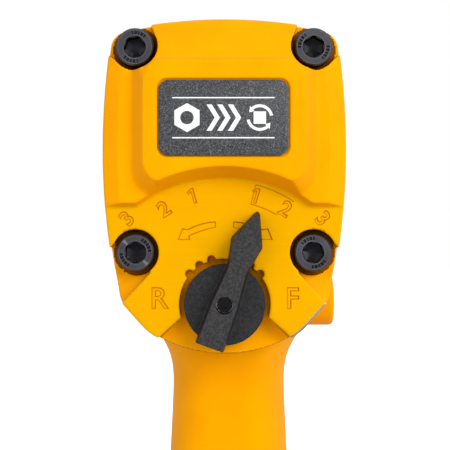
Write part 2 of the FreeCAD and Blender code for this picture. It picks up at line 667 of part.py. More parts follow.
# ---- impact mechanism --------------------------------------------------------------------
def anvil():
    """Square drive, journal, and the two ears that the hammers strike."""
    half = SQUARE / 2
    square = rounded_prism(rectangle(half, -half, half), [1.0] * 4, 0.0, DRIVE_BACK - 2.0)
    nose = turned([(0, 0), (7.3, 0), (9.1, -1.8), (9.1, -18.0), (0, -18.0)])
    square = square.common(nose).cut(tube(12.0, 6.0, -3.2, -5.6))
    shaft = turned([
        (0, DRIVE_BACK), (8.9, DRIVE_BACK), (JOURNAL_R, DRIVE_BACK - 0.6), (JOURNAL_R, JOURNAL_BACK),
        (13.5, JOURNAL_BACK), (13.5, ANVIL_FLANGE_BACK), (CORE_R, ANVIL_FLANGE_BACK),
        (CORE_R, ANVIL_CORE_BACK), (3.5, ANVIL_CORE_BACK), (3.5, -99.0), (0, -99.0),
    ])
    body = square.fuse(shaft)
    for direction, front, back in ((0, -65.5, -78.0), (180, -80.5, -93.0)):
        ear = tube(EAR_R, CORE_R - 1.0, front, back)
        reach = 20 * math.tan(math.radians(EAR_HALF_ANGLE))
        ear = ear.common(polygon([(0, 0), (reach, 20), (-reach, 20)], front, back))
        body = body.fuse(turn(ear, direction))
    return body.removeSplitter()


def socket_retaining_ring():
    """Split friction ring that grips a socket on the square."""
    split = tube(6.75, 6.2, -3.4, -5.4)
    return split.cut(block(-1.0, 1.0, -6, -3, 0, 8))


def retaining_o_ring():
    """Rubber ring that pushes the friction ring outwards."""
    return tube(6.2, 6.0, -3.6, -5.2)


def hammer(span, lift):
    """Swinging hammer, hollow in the middle, pivoted on one pin and notched for the other."""
    front, back = span
    side = 1 if lift > 0 else -1
    rim = rod(19.7, front, back)
    wings = rod(23.4, front, back).common(block(-10.5, 10.5, back, front, -25, 25))
    body = rim.fuse(wings).cut(rod(13.2, front + 1, back - 1))
    body = body.cut(rod(PIN_R + RUNNING, front + 1, back - 1, 0, lift))
    notch = [(-6.0, -side * 14.9), (6.0, -side * 14.9), (6.0, -side * 26.0), (-6.0, -side * 26.0)]
    return body.cut(polygon(notch, front + 1, back - 1)).removeSplitter()


def hammer_front():
    """Front hammer, pivoted on the upper pin."""
    return hammer(HAMMER_A, PIN_OFFSET)


def hammer_rear():
    """Rear hammer, pivoted on the lower pin."""
    return hammer(HAMMER_B, -PIN_OFFSET)


def hammer_cage():
    """Frame that the rotor turns and that carries both hammers."""
    front = tube(CAGE_R, 10.2, -60.0, -64.5)
    rear = rod(CAGE_R, -95.0, -102.0).cut(spline(7.08, 5.48, 1.58, -90.0, -106.0))
    bars = tube(CAGE_R, 24.0, -64.5, -95.0)
    reach = 30 * math.tan(math.radians(38.0))
    wedge = polygon([(0, 0), (30, reach), (30, -reach)], -64.5, -95.0)
    wedge = wedge.fuse(turn(wedge, 180))
    cage = front.fuse(rear).fuse(bars.common(wedge))
    for lift in (-PIN_OFFSET, PIN_OFFSET):
        cage = cage.cut(rod(PIN_R, -58.0, -104.0, 0, lift))
    return cage.removeSplitter()


def hammer_pins():
    """Two hardened pins through the cage."""
    return Part.makeCompound([rod(PIN_R, -60.6, -101.4, 0, lift) for lift in (-PIN_OFFSET, PIN_OFFSET)])


# ---- hammer case -------------------------------------------------------------------------
def hammer_case():
    """Front casting round the impact mechanism, with ears for its screws."""
    curve = [(17.5, -48.0), (21.4, -49.7), (25.0, -52.5), (27.6, -56.6), (29.0, -62.0), (29.7, -69.0)]
    outer = [(14.5, -21.0), (16.5, -23.5), (16.5, -44.0)] + curve + [(30.0, -92.0), (30.0, CASE_BACK)]
    inner = [(26.5, CASE_BACK), (26.5, -60.0), (24.5, -57.0), (16.0, -55.0), (12.5, -55.0), (12.5, -21.0)]
    case = turned(outer + inner)
    flange = rod(32.0, -95.5, CASE_BACK).cut(rod(26.5, -90.0, CASE_BACK - 1))
    case = case.fuse(flange)
    for x, z in corners_of(SCREW_X, SCREW_Z):
        lug = rod(6.5, -95.0, CASE_BACK, x, z)
        web = [(x * 0.5, z * 1.1), (x, z * 1.2), (x * 1.2, z), (x * 1.15, z * 0.5)]
        root = polygon(web, -95.5, CASE_BACK)
        lug = lug.fuse(root).cut(rod(26.5, -90.0, CASE_BACK - 1))
        case = case.fuse(lug)
    for x, z in corners_of(SCREW_X, SCREW_Z):
        case = case.cut(rod(SCREW_HOLE_R, -90.0, CASE_BACK - 1, x, z))
        case = case.cut(rod(6.0, -85.0, -95.0, x, z))
    return case.removeSplitter()


def anvil_bushing():
    """Bronze bushing in which the anvil turns."""
    return tube(12.5, JOURNAL_R + RUNNING, -27.0, -55.0)


def anvil_seal():
    """Lip seal ahead of the bushing."""
    return turned([(12.5, -23.0), (10.4, -23.0), (9.58, -24.6), (10.2, -26.8), (12.5, -26.8)])


def anvil_thrust_washer():
    """Washer between the anvil's flange and the case."""
    return tube(14.0, JOURNAL_R + 0.3, -55.0, -56.0)


def case_gasket():
    """O-ring that seals the case to the housing, in its groove."""
    return ring(CASE_RING_R, CASE_RING_MAJOR_R, CASE_BACK - CASE_RING_R - 0.02)


def case_screws():
    """Four screws that hold the hammer case."""
    screws = [cap_screw(x, z, -93.4, FRONT_SCREW_LENGTH, -1) for x, z in corners_of(SCREW_X, SCREW_Z)]
    return Part.makeCompound(screws)


def case_washers():
    """Split washers under the case screws."""
    washers = []
    for x, z in corners_of(SCREW_X, SCREW_Z):
        washer = tube(5.3, SCREW_R, -93.4, -95.0, x, z)
        washers.append(washer.cut(block(x - 0.3, x + 0.3, -96, -93, z + 2, z + 6)))
    return Part.makeCompound(washers)


# ---- trigger, throttle and inlet ---------------------------------------------------------
def trigger():
    """Squeeze trigger with a hollowed front face."""
    low = TRIGGER_Z - 14.0
    high = TRIGGER_Z + 11.0
    profile = [V(0, -97.0, high - 1.0), V(0, TRIGGER_BACK, high), V(0, TRIGGER_BACK, low)]
    profile.append(V(0, -99.5, low + 1.0))
    hollow = Part.Arc(profile[3], V(0, -101.5, (low + high) / 2 - 2.0), profile[0]).toShape()
    edges = [Part.LineSegment(profile[i], profile[i + 1]).toShape() for i in range(3)]
    side = Part.Face(Part.Wire(edges + [hollow]))
    side.translate(V(HANDLE_X - 8.0, 0, 0))
    body = side.extrude(V(16.0, 0, 0))
    upright = [edge for edge in body.Edges if edge.BoundBox.YMax > -105 and edge.BoundBox.XLength < 0.1]
    body = body.makeFillet(3.0, [edge for edge in upright if edge.BoundBox.ZLength > 10])
    return body.cut(rod(2.5, -105.0, TRIGGER_BACK - 1, HANDLE_X, TRIGGER_Z))


def trigger_pin():
    """Pin that carries the trigger's push to the throttle valve."""
    return rod(2.5, -105.0, INLET_Y + 1.75, HANDLE_X, TRIGGER_Z)


def trigger_bush():
    """Bush screwed into the handle to guide the trigger pin."""
    bush = tube(6.0, 2.5 + RUNNING, RECESS_FLOOR, RECESS_FLOOR - 6.0, HANDLE_X, TRIGGER_Z)
    return bush.cut(rod(4.1, RECESS_FLOOR - 2.3, RECESS_FLOOR - 3.7, HANDLE_X, TRIGGER_Z))


def trigger_seal():
    """O-ring round the trigger pin."""
    return ring(0.7, 3.3, RECESS_FLOOR - 3.0, HANDLE_X, TRIGGER_Z)


def throttle_valve():
    """Tip valve: a disc on a long stem that the trigger pin pushes off its seat."""
    disc = turned_upright([(0, 0), (6.0, 0), (6.0, -2.4), (0, -2.4)], 0, 0)
    stem = post(1.6, 34.0, 0.0, 0, 0)
    collar = post(3.0, 2.0, 0.0, 0, 0)
    valve = disc.fuse(stem).fuse(collar)
    valve.translate(V(HANDLE_X, INLET_Y, SEAT_Z - 0.05))
    return valve


def throttle_seat():
    """Ring on which the throttle valve closes."""
    seat = turned_upright([(4.6, 0), (7.5, 0), (7.5, 3.0), (4.6, 3.0)], HANDLE_X, INLET_Y)
    seat.translate(V(0, 0, SEAT_Z))
    return seat


def throttle_spring():
    """Spring that closes the throttle valve and returns the trigger."""
    return coil(4.6, 0.55, 18.0, 5, V(HANDLE_X, INLET_Y, -112.6), V(0, 0, 1))


def inlet_bushing():
    """Steel bushing with a female 1/4 in. pipe thread for the hose fitting."""
    bushing = turned_upright([
        (INLET_THREAD_R, -161.0), (9.2, -161.0), (9.2, -150.0), (9.5, -150.0), (9.5, -114.0),
        (4.2, -114.0), (4.2, -143.0), (INLET_THREAD_R, -143.0),
    ], HANDLE_X, INLET_Y)
    hexagonal = hexagon(20.6, 0.0, -5.0, 0, 0)
    hexagonal.rotate(V(0, 0, 0), V(1, 0, 0), 90)
    hexagonal.translate(V(HANDLE_X, INLET_Y, -156.0))
    return bushing.fuse(hexagonal.cut(post(6.5, 0, -170, HANDLE_X, INLET_Y))).removeSplitter()


def inlet_strainer():
    """Mesh cup that keeps dirt out of the throttle."""
    cup = turned_upright([(0, -126.0), (4.2, -126.0), (4.2, -140.0), (3.6, -140.0), (3.6, -126.6),
                          (0, -126.6)], HANDLE_X, INLET_Y)
    for step in range(6):
        hole = post(0.5, -120, -130, HANDLE_X + 2.2 * math.cos(step * math.pi / 3),
                    INLET_Y + 2.2 * math.sin(step * math.pi / 3))
        cup = cup.cut(hole)
    return cup


def exhaust_deflector():
    """Cap under the handle that turns the exhaust air away."""
    foot = Part.Face(handle_section(-156.0, -114.9, -164.6, 18.2, 12.6)).extrude(V(0, 0, 6.0))
    foot = foot.cut(post(9.3, -140, -170, HANDLE_X, INLET_Y))
    foot = foot.cut(post(6.5, HANDLE_BOTTOM + 1, -154.0, HANDLE_X, EXHAUST_Y - 1.0))
    for step in range(-2, 3):
        vent = block(-0.9, 0.9, -163.0, -146.0, -154.8, -151.5)
        vent.translate(V(HANDLE_X + 3.4 * step, -4.0, 0))
        foot = foot.cut(vent)
    return foot


def exhaust_muffler():
    """Porous plug in the exhaust passage."""
    return post(5.0, -128.0, HANDLE_BOTTOM, HANDLE_X, EXHAUST_Y)


PIECES = [
    rear_cover, label_plate, rear_cover_screws, rear_gasket, selector_knob, selector_screw,
    selector_detent_pin, selector_detent_spring, valve_sleeve, reverse_valve, valve_seal,
    motor_housing, side_port_plug, front_end_plate, rear_end_plate, air_cylinder, cylinder_dowel,
    rotor, rotor_vanes, anvil, socket_retaining_ring, retaining_o_ring, hammer_front, hammer_rear,
    hammer_cage, hammer_pins, hammer_case, anvil_bushing, anvil_seal, anvil_thrust_washer,
    case_gasket, case_screws, case_washers, trigger, trigger_pin, trigger_bush, trigger_seal,
    throttle_valve, throttle_seat, throttle_spring, inlet_bushing, inlet_strainer,
    exhaust_deflector, exhaust_muffler,
]


def main():
    os.makedirs("parts", exist_ok=True)
    shapes = {make.__name__: make() for make in PIECES}
    shapes.update(bearing("front_bearing", -107.7, -113.9, FRONT_SHAFT_R, 16.0, 9))
    shapes.update(bearing("rear_bearing", -159.6, -165.4, REAR_SHAFT_R, 14.0, 8))
    for name, shape in shapes.items():
        shape.exportStep(os.path.join("parts", name + ".step"))
        print(name, len(shape.Solids), "solid(s)", round(shape.Volume), "mm3", shape.isValid())


main()
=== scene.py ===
"""Looks of the air impact wrench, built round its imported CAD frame."""
import json
import math

import bmesh
import bpy
from mathutils import Matrix, Vector


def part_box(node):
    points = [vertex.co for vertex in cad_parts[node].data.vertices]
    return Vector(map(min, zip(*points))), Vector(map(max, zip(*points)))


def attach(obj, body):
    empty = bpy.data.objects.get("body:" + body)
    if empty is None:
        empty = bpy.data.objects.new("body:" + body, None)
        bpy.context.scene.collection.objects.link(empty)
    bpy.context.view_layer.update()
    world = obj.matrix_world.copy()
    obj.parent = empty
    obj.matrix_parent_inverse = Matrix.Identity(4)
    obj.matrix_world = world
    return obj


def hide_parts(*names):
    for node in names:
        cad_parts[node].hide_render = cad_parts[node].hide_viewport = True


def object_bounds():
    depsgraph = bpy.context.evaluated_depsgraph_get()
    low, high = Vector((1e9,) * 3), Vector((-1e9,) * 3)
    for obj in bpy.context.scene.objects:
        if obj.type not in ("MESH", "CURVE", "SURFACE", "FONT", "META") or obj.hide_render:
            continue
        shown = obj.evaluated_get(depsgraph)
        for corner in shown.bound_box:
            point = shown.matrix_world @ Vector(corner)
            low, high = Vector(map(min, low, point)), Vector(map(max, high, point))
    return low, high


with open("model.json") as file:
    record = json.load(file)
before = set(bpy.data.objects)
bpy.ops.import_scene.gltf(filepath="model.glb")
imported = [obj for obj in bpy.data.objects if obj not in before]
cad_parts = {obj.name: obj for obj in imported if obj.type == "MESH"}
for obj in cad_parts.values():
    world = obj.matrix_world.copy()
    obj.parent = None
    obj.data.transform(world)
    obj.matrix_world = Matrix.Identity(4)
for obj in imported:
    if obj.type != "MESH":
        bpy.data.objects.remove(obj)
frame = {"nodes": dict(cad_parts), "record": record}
CAD_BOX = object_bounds()
NODES = frame["nodes"]
RECORD = frame["record"]
SLOT_OF = {part["node"]: part["material_slot"] for part in RECORD["subparts"]}
BODY_OF = {node: body for body, nodes in RECORD["behaviour"]["bodies"].items() for node in nodes}
JOINTS = {joint["name"]: joint for joint in RECORD["behaviour"]["joints"]}

MM = 0.001
MICRON = 0.000001
WORN_POINTINESS = (0.52, 0.6)

# ---- castings and edges ------------------------------------------------------------------
CREASE = math.radians(30.0)
CASTINGS = {  # voxel, rounds of smoothing, share of the faces that is kept
    "rear_cover": (0.32 * MM, 8, 0.5),
    "motor_housing": (0.55 * MM, 8, 0.4),
    "hammer_case": (0.5 * MM, 8, 0.5),
    "selector_knob": (0.16 * MM, 3, 0.5),
    "trigger": (0.25 * MM, 5, 0.6),
}
BROKEN_EDGES = {
    "label_plate": 0.08 * MM,
    "side_port_plug": 0.15 * MM,
    "anvil": 0.2 * MM,
    "inlet_bushing": 0.2 * MM,
}
TRIGGER_ROOM = 0.35 * MM

# ---- socket-head screws ------------------------------------------------------------------
RING_STEPS = 96
STAMP_PERIOD = RING_STEPS // 2
STAMPED_STEPS = {2, 5, 6, 9, 12, 13, 16}
STAMP_DEPTH_MM = 0.13
SOCKET_END_MM = 4.7
KNURL_SHARE = 0.972
SCREW_TURN = 0.7  # radians from one screw to the next
# the second finish is near-black steel, painted shade in sockets and on the knurl
PLAIN, DARK_SHADE = range(2)

# ---- cover and dial ----------------------------------------------------------------------
COVER_LOW, COVER_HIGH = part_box("rear_cover")
DIAL_HEIGHT = 12.0 * MM
DIAL_Y = COVER_HIGH.y - DIAL_HEIGHT
SELECTOR = Vector(JOINTS["selector_turn"]["pos_m"])
DISC_TOP = DIAL_Y - 2.0 * MM
LEVER_TOP_TILT = -0.7
COVER_FINISHES = ("yellow_paint", "dial_paint", "mark_painted_shade", "well_painted_shade", "worn_edge")
YELLOW, DIAL, MARK_SHADE, WELL_SHADE, WORN = range(len(COVER_FINISHES))

# hollows beside the label pad
VALLEY_RISE = (2.0 * MM, 6.9 * MM)
VALLEY_X = (19.6 * MM, 27.5 * MM)
VALLEY_FOOT = -11.5 * MM
VALLEY_ROUNDS = 24
WELL_CLEARANCE = 6.6 * MM

# where the cover's finishes and its painted shade change
# screw wells: inside this radius and above the seat, near-black paint as painted shade
WELL_SHADE_R = 6.15 * MM
WELL_SHADE_RIM = 0.3 * MM
BARE_DEPTH = (-0.3 * MM, 1.0 * MM)
BARE_START = 15.5 * MM
BARE_Z = (-50.0 * MM, -34.5 * MM)
BARE_REACH = 66.0 * MM
BARE_TILT = 0.25
# the cover's downward-facing foot, darkened with painted shade
FOOT_DEPTH = (4.0 * MM, 6.0 * MM)
FOOT_TOP = -46.0 * MM
FOOT_TILT = -0.3
DIAL_BAND = 0.4 * MM

# ---- marks cut into the dial -------------------------------------------------------------
MARK_DEPTH = 0.3 * MM
MARK_CORE = 0.04 * MM
MARK_WALL_DEPTH = (0.01 * MM, MARK_DEPTH)
MARK_WALL_TILT = 0.93
MARK_REACH = 3.6 * MM
CAPITAL_SHARE = 0.72
NUMBER_HEIGHT = 4.1 * MM
NUMBER_GROWTH = 0.25 * MM
NUMBER_STEP = math.radians(16.236)
NUMBER_RADII = {1: 29.8 * MM, 2: 29.65 * MM, 3: 34.15 * MM}
LETTER_HEIGHT = 5.6 * MM
LETTER_GROWTH = 0.21 * MM
LETTER_Z = -39.2 * MM
LETTER_X = {"R": -17.2 * MM, "F": 17.9 * MM}
ARROW_STRETCH = {-1: 1.0, 1: 1.04}
ARROW_SPOT_X = (3.9 * MM, 7.0 * MM, 10.1 * MM)
ARROW_SPOT_Z = -20.9 * MM
ARROW_SPOT_REACH = 3.7 * MM

# fine line round two of the settings
SCRIBED_R = (27.3 * MM, 32.6 * MM)
SCRIBED_TURN = (math.radians(14.4), math.radians(34.0))
SCRIBED_HALF_WIDTH = 0.13 * MM
SCRIBED_STEPS = 16
SCRIBED_GAP_STEPS = 3
SCRIBED_DEPTH = 0.15 * MM
SCRIBED_PROUD = 0.1 * MM
SCRIBED_FLOOR = (0.02 * MM, 0.2 * MM)
SCRIBED_R_MARGIN = 1.0 * MM
SCRIBED_TURN_MARGIN = 0.03

# ---- print on the label ------------------------------------------------------------------
PRINT_SINK = 0.005 * MM
PRINT_THICKNESS = 0.03 * MM
RULE_LEVELS = (5.15 * MM, -5.2 * MM)
RULE_HALF_LENGTH = 13.2 * MM
RULE_HALF_WIDTH = 0.16 * MM
SYMBOL_X = 9.4 * MM
NUT_R = 3.75 * MM
NUT_HOLE_R = 1.75 * MM
CHEVRON_START = -4.35 * MM
CHEVRON_PITCH = 2.75 * MM
CHEVRON_HALF_HEIGHT = 3.4 * MM
CHEVRON_WIDTH = 1.35 * MM
CHEVRON_REACH = 2.1 * MM
DRIVE_HALF = 1.6 * MM
TURN_R = 3.05 * MM
TURN_HALF_WIDTH = 0.38 * MM
TURN_HEAD = 0.85 * MM
TURN_TIP = 1.5 * TURN_HEAD
TURN_STARTS = (math.radians(10), math.radians(190))
TURN_SWEEP = math.radians(120)
TURN_STEPS = 20

# ---- camera, lights and floor ------------------------------------------------------------
FIELD_OF_VIEW = math.radians(20.4)
CAMERA_DISTANCE = 326.0 * MM
CAMERA_X, CAMERA_Z = 1.5 * MM, -24.4 * MM
AIM_X, AIM_Z = 0.2 * MM, -19.7 * MM
SCREW_PLANE = COVER_LOW.y + 4.0 * MM
AMBIENT = 0.64
LAMPS = {  # place, size in metres, watts
    "key": ((0.85, -1.2, 0.45), 0.8, 14.0),
    "fill": ((-0.7, -1.2, 0.3), 0.8, 3.0),
    "straight": ((0.1, -1.5, 0.0), 0.7, 1.3),
    "front": ((0.3, 1.2, 0.6), 0.9, 6.0),
}
FLOOR_HALF = 6.0
FLOOR_GLOW = 0.84


# ---- node helpers ------------------------------------------------------------------------
def new_material(name):
    """Material with an empty tree, its shader and the object's own coordinates."""
    material = bpy.data.materials.new(name)
    material.use_nodes = True
    nodes = material.node_tree.nodes
    nodes.clear()
    shader = nodes.new("ShaderNodeBsdfPrincipled")
    output = nodes.new("ShaderNodeOutputMaterial")
    place = nodes.new("ShaderNodeTexCoord")
    material.node_tree.links.new(shader.outputs[0], output.inputs[0])
    return material, shader, place.outputs["Object"]


def link(material, start, end):
    """Join two sockets."""
    material.node_tree.links.new(start, end)


def stretched(material, place, scale):
    """Coordinates scaled apart along X, Y and Z."""
    mapping = material.node_tree.nodes.new("ShaderNodeMapping")
    mapping.inputs["Scale"].default_value = scale
    link(material, place, mapping.inputs["Vector"])
    return mapping.outputs[0]


def noise(material, place, scale, detail=2.0, roughness=0.5):
    """Noise value from 0 to 1, its scale in features per metre."""
    texture = material.node_tree.nodes.new("ShaderNodeTexNoise")
    texture.inputs["Scale"].default_value = scale
    texture.inputs["Detail"].default_value = detail
    texture.inputs["Roughness"].default_value = roughness
    link(material, place, texture.inputs["Vector"])
    return texture.outputs[0]


def ramp(material, value, stops):
    """Colours at positions along a value."""
    node = material.node_tree.nodes.new("ShaderNodeValToRGB")
    elements = node.color_ramp.elements
    while len(elements) < len(stops):
        elements.new(0.5)
    for element, (position, colour) in zip(elements, stops):
        element.position = position
        element.color = (*colour, 1.0)
    link(material, value, node.inputs[0])
    return node.outputs[0]


def span(material, value, low, high, inner=(0.0, 1.0)):
    """A value moved from the inner range to the range low to high."""
    node = material.node_tree.nodes.new("ShaderNodeMapRange")
    node.inputs["From Min"].default_value = inner[0]
    node.inputs["From Max"].default_value = inner[1]
    node.inputs["To Min"].default_value = low
    node.inputs["To Max"].default_value = high
    link(material, value, node.inputs["Value"])
    return node.outputs[0]


def averaged(material, first, second):
    """Two values blended half and half."""
    node = material.node_tree.nodes.new("ShaderNodeMix")
    node.inputs["Factor"].default_value = 0.5
    link(material, first, node.inputs["A"])
    link(material, second, node.inputs["B"])
    return node.outputs["Result"]


def bump(material, shader, *layers):
    """Bump from (height socket, depth in metres) layers, one on the other."""
    below = None
    for value, depth in layers:
        node = material.node_tree.nodes.new("ShaderNodeBump")
        node.inputs["Strength"].default_value = 1.0
        node.inputs["Distance"].default_value = depth
        link(material, value, node.inputs["Height"])
        if below is not None:
            link(material, below, node.inputs["Normal"])
        below = node.outputs[0]
    link(material, below, shader.inputs["Normal"])


def worn(material, colour, bare):
    """A colour that turns into the bare one along the edges."""
    geometry = material.node_tree.nodes.new("ShaderNodeNewGeometry")
    mix = material.node_tree.nodes.new("ShaderNodeMix")
    mix.data_type = "RGBA"
    edges = span(material, geometry.outputs["Pointiness"], 0.0, 1.0, inner=WORN_POINTINESS)
    link(material, edges, mix.inputs["Factor"])
    link(material, colour, mix.inputs["A"])
    mix.inputs["B"].default_value = (*bare, 1.0)
    return mix.outputs["Result"]


# ---- materials ---------------------------------------------------------------------------
def yellow_paint(name, low, high, brushed=False):
    """Baked enamel on a die casting: fine orange peel, and drag lines on milled faces."""
    material, shader, place = new_material(name)
    tone = noise(material, place, 90.0, 3.0)
    layers = []
    if brushed:
        drag = noise(material, stretched(material, place, (50.0, 50.0, 3400.0)), 1.0, 3.0, 0.65)
        layers.append((drag, 30 * MICRON))
        tone = averaged(material, tone, drag)
    colour = ramp(material, tone, [(0.3, low), (0.7, high)])
    link(material, colour, shader.inputs["Base Color"])
    peel = noise(material, place, 1400.0)
    link(material, span(material, peel, 0.38, 0.52), shader.inputs["Roughness"])
    shader.inputs["Specular Tint"].default_value = (1.0, 0.6, 0.04, 1.0)
    shader.inputs["Specular IOR Level"].default_value = 0.15
    layers += [(peel, 10 * MICRON), (noise(material, place, 260.0), 20 * MICRON)]
    bump(material, shader, *layers)
    return material


def label():
    """Dark grey printed plate with a fine sparkle in its texture."""
    material, shader, place = new_material("label")
    grain = noise(material, place, 3300.0, 2.0, 0.7)
    stops = [(0.36, (0.008, 0.0085, 0.01)), (0.52, (0.028, 0.0295, 0.033)), (0.68, (0.15, 0.155, 0.17))]
    link(material, ramp(material, grain, stops), shader.inputs["Base Color"])
    link(material, span(material, grain, 0.4, 0.62), shader.inputs["Roughness"])
    bump(material, shader, (grain, 30 * MICRON))
    return material


def label_print():
    """White ink, a little uneven."""
    material, shader, place = new_material("label_print")
    cover = noise(material, place, 2200.0, 3.0, 0.7)
    colour = ramp(material, cover, [(0.25, (0.62, 0.62, 0.63)), (0.45, (0.86, 0.86, 0.87))])
    link(material, colour, shader.inputs["Base Color"])
    link(material, span(material, cover, 0.45, 0.6), shader.inputs["Roughness"])
    bump(material, shader, (cover, 10 * MICRON))
    return material


def metal(name, dark, light, rough, scale=900.0, depth=10 * MICRON, direction=(1.0, 1.0, 1.0), wear=None):
    """Metal whose colour and polish vary over it, with bright worn edges if asked for."""
    material, shader, place = new_material(name)
    shader.inputs["Metallic"].default_value = 1.0
    grain = noise(material, stretched(material, place, direction), scale, 3.0, 0.6)
    patches = noise(material, place, 140.0, 3.0)
    colour = ramp(material, patches, [(0.3, dark), (0.7, light)])
    if wear:
        colour = worn(material, colour, wear)
    link(material, colour, shader.inputs["Base Color"])
    link(material, span(material, grain, *rough), shader.inputs["Roughness"])
    bump(material, shader, (grain, depth))
    return material


def plastic(name, dark, light, rough, scale, depth, gloss=0.5):
    """Moulded plastic or rubber with an even grain."""
    material, shader, place = new_material(name)
    shader.inputs["Specular IOR Level"].default_value = gloss
    grain = noise(material, place, scale, 2.0, 0.6)
    specks = noise(material, place, scale * 0.6, 3.0, 0.8)
    colour = ramp(material, specks, [(0.35, dark), (0.68, light)])
    link(material, colour, shader.inputs["Base Color"])
    link(material, span(material, grain, *rough), shader.inputs["Roughness"])
    bump(material, shader, (grain, depth))
    return material


def paints():
    """The enamel on open faces, its milled tone on the dial, and darker tones as painted shade on the mark
    walls, the scribed groove, the cover's downward foot and in the screw wells.
    """
    return {
        "yellow_paint": yellow_paint("yellow_paint", (0.9, 0.335, 0.0), (0.95, 0.375, 0.0)),
        "dial_paint": yellow_paint("dial_paint", (0.74, 0.345, 0.0), (0.82, 0.39, 0.0), brushed=True),
        # painted shade: a darker orange for the walls of the marks, the scribed groove's floor and the
        # cover's downward-facing foot
        "mark_painted_shade": yellow_paint("mark_painted_shade", (0.5, 0.17, 0.0), (0.6, 0.22, 0.0)),
        # painted shade: a near-black orange for the faces in the deep screw wells
        "well_painted_shade": yellow_paint("well_painted_shade", (0.14, 0.035, 0.0), (0.26, 0.075, 0.0)),
    }


def metals():
    """Steels, the case's alloy, iron, bronze and brass."""
    return {
        "worn_edge": metal(
            "worn_edge", (0.34, 0.33, 0.31), (0.5, 0.49, 0.46), (0.35, 0.5), depth=20 * MICRON),
        "black_steel": metal(
            "black_steel", (0.045, 0.045, 0.053), (0.075, 0.075, 0.086), (0.34, 0.48),
            scale=1500.0, depth=12 * MICRON, wear=(0.16, 0.16, 0.18)),
        # painted shade: near-black steel for the screw sockets, the knurled head sides and the selector
        # screw in its hole
        "socket_painted_shade": metal(
            "socket_painted_shade", (0.008, 0.008, 0.009), (0.02, 0.02, 0.023), (0.25, 0.4),
            scale=1500.0, depth=12 * MICRON),
        "steel": metal(
            "steel", (0.45, 0.45, 0.46), (0.58, 0.58, 0.59), (0.2, 0.34),
            scale=700.0, depth=6 * MICRON, direction=(1.0, 12.0, 1.0)),
        "bright_steel": metal(
            "bright_steel", (0.55, 0.55, 0.54), (0.68, 0.67, 0.65), (0.18, 0.3),
            scale=500.0, depth=6 * MICRON, direction=(1.0, 1.0, 10.0)),
        "dark_steel": metal(
            "dark_steel", (0.12, 0.115, 0.11), (0.2, 0.19, 0.18), (0.26, 0.42),
            direction=(1.0, 8.0, 1.0), wear=(0.42, 0.41, 0.4)),
        "cast_iron": metal(
            "cast_iron", (0.16, 0.16, 0.16), (0.27, 0.27, 0.27), (0.4, 0.6),
            scale=600.0, depth=30 * MICRON),
        "case_alloy": metal(
            "case_alloy", (0.43, 0.43, 0.44), (0.55, 0.55, 0.56), (0.36, 0.52),
            scale=1100.0, depth=20 * MICRON, wear=(0.66, 0.66, 0.66)),
        "bronze": metal(
            "bronze", (0.36, 0.22, 0.09), (0.48, 0.31, 0.14), (0.35, 0.5),
            scale=1500.0, depth=20 * MICRON),
        "brass": metal(
            "brass", (0.6, 0.44, 0.17), (0.72, 0.55, 0.24), (0.22, 0.35),
            scale=600.0, depth=8 * MICRON),
    }


def plastics():
    """Plastics, rubber, the gasket's fibre, the vanes' laminate and the muffler's felt."""
    return {
        "black_plastic": plastic(
            "black_plastic", (0.006, 0.0055, 0.0065), (0.03, 0.028, 0.031), (0.45, 0.62),
            scale=2600.0, depth=50 * MICRON, gloss=0.22),
        # painted light: a paler copy of the black plastic for the top faces of the lever
        "lever_top_painted_light": plastic(
            "lever_top_painted_light", (0.01, 0.0095, 0.01), (0.05, 0.047, 0.049), (0.42, 0.6),
            scale=2600.0, depth=50 * MICRON, gloss=0.24),
        "rubber": plastic(
            "rubber", (0.012, 0.012, 0.012), (0.025, 0.025, 0.025), (0.6, 0.8),
            scale=1200.0, depth=20 * MICRON),
        "gasket": plastic(
            "gasket", (0.36, 0.33, 0.27), (0.5, 0.47, 0.4), (0.45, 0.7),
            scale=1800.0, depth=20 * MICRON),
        "vane": plastic(
            "vane", (0.16, 0.08, 0.03), (0.3, 0.17, 0.07), (0.5, 0.7),
            scale=800.0, depth=20 * MICRON),
        "muffler": plastic(
            "muffler", (0.2, 0.2, 0.19), (0.55, 0.55, 0.52), (0.8, 0.95),
            scale=1500.0, depth=200 * MICRON),
    }


MATERIALS = {**paints(), "label": label(), "label_print": label_print(), **metals(), **plastics()}


# ---- mesh helpers ------------------------------------------------------------------------
def set_finishes(mesh, names):
    """Gives a mesh these materials, and its faces the first of them."""
    mesh.materials.clear()
    for name in names:
        mesh.materials.append(MATERIALS[name])


def add_object(name, mesh, body, slot, finish=None):
    """New piece that rides on a body and has a slot's finish, or another one in that slot."""
    piece = bpy.data.objects.new(name, mesh)
    bpy.context.scene.collection.objects.link(piece)
    set_finishes(mesh, [finish or slot])
    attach(piece, body)
    return piece


def baked_mesh(piece):
    """The mesh of an object with its modifiers applied."""
    depsgraph = bpy.context.evaluated_depsgraph_get()
    return bpy.data.meshes.new_from_object(piece.evaluated_get(depsgraph))


def apply_modifiers(piece):
    """Turn the modifiers of a mesh object into its mesh."""
    mesh = baked_mesh(piece)
    piece.modifiers.clear()
    piece.data = mesh


def shade(mesh):
    """Smooth shading with creases at sharp edges."""
    mesh.shade_smooth()
    mesh.set_sharp_from_angle(angle=CREASE)


def new_mesh(name, work):
    """Mesh from a finished bmesh, which is freed."""
    mesh = bpy.data.meshes.new(name)
    work.to_mesh(mesh)
    work.free()
    return mesh


def plain_copy(node):
    """Copy of a CAD node's mesh with its split corners joined and its shading reset."""
    mesh = NODES[node].data.copy()
    for attribute in ("custom_normal", "sharp_edge", "sharp_face"):
        layer = mesh.attributes.get(attribute)
        if layer:
            mesh.attributes.remove(layer)
    work = bmesh.new()
    work.from_mesh(mesh)
    bmesh.ops.remove_doubles(work, verts=work.verts, dist=2 * MICRON)
    work.to_mesh(mesh)
    work.free()
    return mesh


